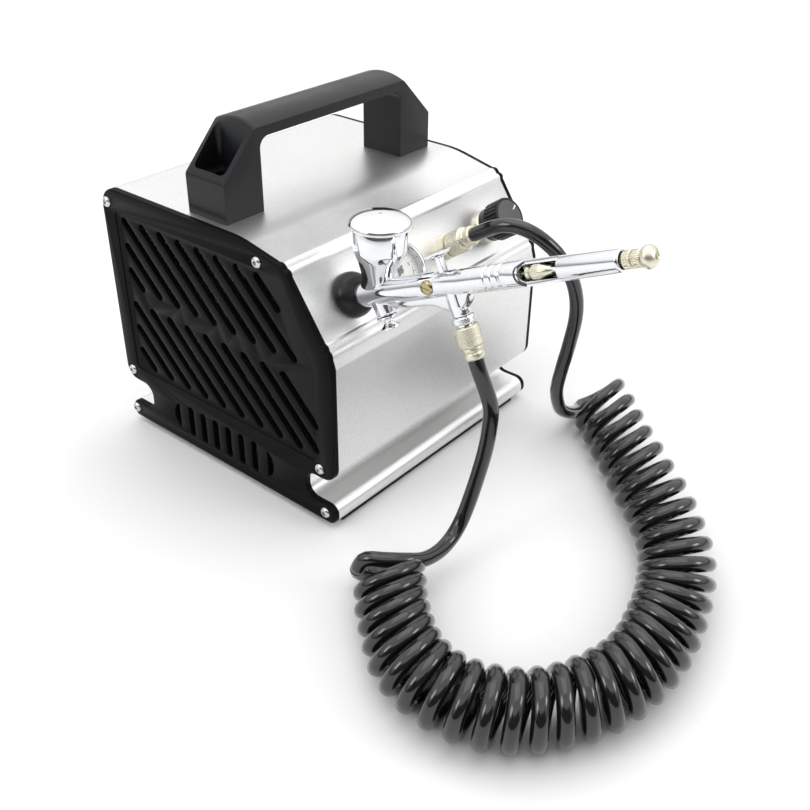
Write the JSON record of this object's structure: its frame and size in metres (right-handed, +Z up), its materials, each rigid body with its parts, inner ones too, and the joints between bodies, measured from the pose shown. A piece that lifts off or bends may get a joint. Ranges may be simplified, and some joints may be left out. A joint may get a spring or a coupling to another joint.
{
  "type": "airbrush compressor",
  "caption": "Compact piston airbrush compressor in an extruded case with grilles and carry handle, with a gravity-feed airbrush in its rubber holder and a curly air hose.",
  "frame": {"origin": "centre of the footprint of everything but the hose, on the surface the feet stand on", "axes": "+X along the case towards the regulator's end, -Y towards the front with the slanted panel and the airbrush, +Z up"},
  "size_m": [0.2261, 0.3112, 0.1673],
  "materials": {
    "case_aluminium": "fine bead-blasted and clear anodised",
    "plate_plastic": "fine matte texture",
    "handle_plastic": "satin",
    "screw_steel": "zinc plated",
    "foot_rubber": "dull",
    "holder_rubber": "satin",
    "gauge_bezel": "dark chrome",
    "gauge_face": "printed white",
    "gauge_pointer": "black",
    "gauge_glass": "clear",
    "fitting_nickel": "satin champagne nickel",
    "knob_plastic": "ribbed, grey face",
    "brush_chrome": "polished",
    "needle_steel": "ground",
    "plug_brass": "polished",
    "motor_steel": "laminated core with its windings",
    "rotor_steel": "turned",
    "fan_plastic": "moulded",
    "pump_aluminium": "cast",
    "pipe_copper": "drawn",
    "inlet_plastic": "moulded",
    "hose_polyurethane": "glossy black polyurethane"
  },
  "bodies": {
    "case": {"case_shell": "case_aluminium", "end_plate_left": "plate_plastic", "end_plate_right": "plate_plastic", "plate_screw_left_1": "screw_steel", "plate_screw_left_2": "screw_steel", "plate_screw_left_3": "screw_steel", "plate_screw_left_4": "screw_steel", "plate_screw_left_5": "screw_steel", "plate_screw_left_6": "screw_steel", "plate_screw_right_1": "screw_steel", "plate_screw_right_2": "screw_steel", "plate_screw_right_3": "screw_steel", "plate_screw_right_4": "screw_steel", "plate_screw_right_5": "screw_steel", "plate_screw_right_6": "screw_steel", "foot_front": "foot_rubber", "foot_back": "foot_rubber", "carry_handle": "handle_plastic", "handle_screw_left": "screw_steel", "handle_screw_right": "screw_steel", "holder_ring": "holder_rubber", "gauge_case": "gauge_bezel", "gauge_dial": "gauge_face", "gauge_lens": "gauge_glass", "regulator_valve": "fitting_nickel", "outlet_fitting": "fitting_nickel", "hose_nut_outlet": "fitting_nickel", "motor_stator": "motor_steel", "motor_frame": "pump_aluminium", "cylinder": "pump_aluminium", "cylinder_head": "pump_aluminium", "air_line": "pipe_copper", "power_inlet": "inlet_plastic", "hose_lead_out": "hose_polyurethane", "hose_coil": "hose_polyurethane", "hose_lead_in": "hose_polyurethane"},
    "pressure_pointer": {"gauge_needle": "gauge_pointer"},
    "pressure_knob": {"regulator_knob": "knob_plastic"},
    "rotor": {"motor_rotor": "rotor_steel", "cooling_fan": "fan_plastic", "crank_disc": "rotor_steel"},
    "piston": {"connecting_rod": "pump_aluminium"},
    "switch": {"power_rocker": "inlet_plastic"},
    "airbrush": {"airbrush_body": "brush_chrome", "nozzle_cap": "brush_chrome", "cup": "brush_chrome", "air_valve": "brush_chrome", "hose_nut_airbrush": "fitting_nickel", "rear_handle": "brush_chrome", "side_screw": "plug_brass"},
    "lid": {"cup_lid": "brush_chrome"},
    "plunger": {"valve_stem": "needle_steel"},
    "trigger": {"trigger": "brush_chrome"},
    "needle": {"needle": "needle_steel", "needle_chuck": "brush_chrome"},
    "needle_stop": {"tail_knob": "brush_chrome"},
    "air_trim": {"air_screw": "brush_chrome"}
  },
  "joints": [
    {"name": "pressure_pointer_turn", "type": "hinge", "parent": "case", "child": "pressure_pointer", "pos_m": [-0.0205, 0.00088, 0.10433], "axis": [0, 0.8192, -0.5736], "range_deg": [0, 270]},
    {"name": "pressure_knob_turn", "type": "hinge", "parent": "case", "child": "pressure_knob", "pos_m": [0.047, 0.00088, 0.10433], "axis": [0, -0.8192, 0.5736], "range_deg": [-360, 360]},
    {"name": "rotor_turn", "type": "hinge", "parent": "case", "child": "rotor", "pos_m": [0, 0.062, 0.05], "axis": [1, 0, 0], "continuous": true},
    {"name": "piston_stroke", "type": "slide", "parent": "case", "child": "piston", "axis": [0, 0, 1], "range_m": [-0.004, 0]},
    {"name": "switch_rock", "type": "hinge", "parent": "case", "child": "switch", "pos_m": [0.046, 0.1287, 0.067], "axis": [-1, 0, 0], "range_deg": [0, 10]},
    {"name": "airbrush_lift_out", "type": "slide", "parent": "case", "child": "airbrush", "axis": [0, -0.915, 0.4035], "range_m": [0, 0.02]},
    {"name": "lid_lift_off", "type": "slide", "parent": "airbrush", "child": "lid", "axis": [0, 0, 1], "range_m": [0, 0.012]},
    {"name": "trigger_press", "type": "slide", "parent": "airbrush", "child": "plunger", "axis": [0, -0.4035, -0.915], "range_m": [0, 0.0025], "stiffness_N_per_m": 800, "springref_m": -0.002},
    {"name": "trigger_pull", "type": "hinge", "parent": "plunger", "child": "trigger", "pos_m": [-0.048, -0.04919, 0.12513], "axis": [1, 0, 0], "range_deg": [0, 12]},
    {"name": "needle_travel", "type": "slide", "parent": "airbrush", "child": "needle", "axis": [0, -0.915, 0.4035], "range_m": [0, 0.0025], "stiffness_N_per_m": 300, "springref_m": -0.002},
    {"name": "needle_stop_turn", "type": "hinge", "parent": "airbrush", "child": "needle_stop", "pos_m": [-0.048, -0.12484, 0.15926], "axis": [0, -0.915, 0.4035], "range_deg": [-360, 360]},
    {"name": "air_trim_turn", "type": "hinge", "parent": "airbrush", "child": "air_trim", "pos_m": [-0.048, -0.0145, 0.11059], "axis": [0, -0.4035, -0.915], "range_deg": [0, 720]}
  ],
  "couplings": [
    {"joint": "trigger_pull", "follows": "needle_travel", "rad_per_m": 83.333}
  ]
}
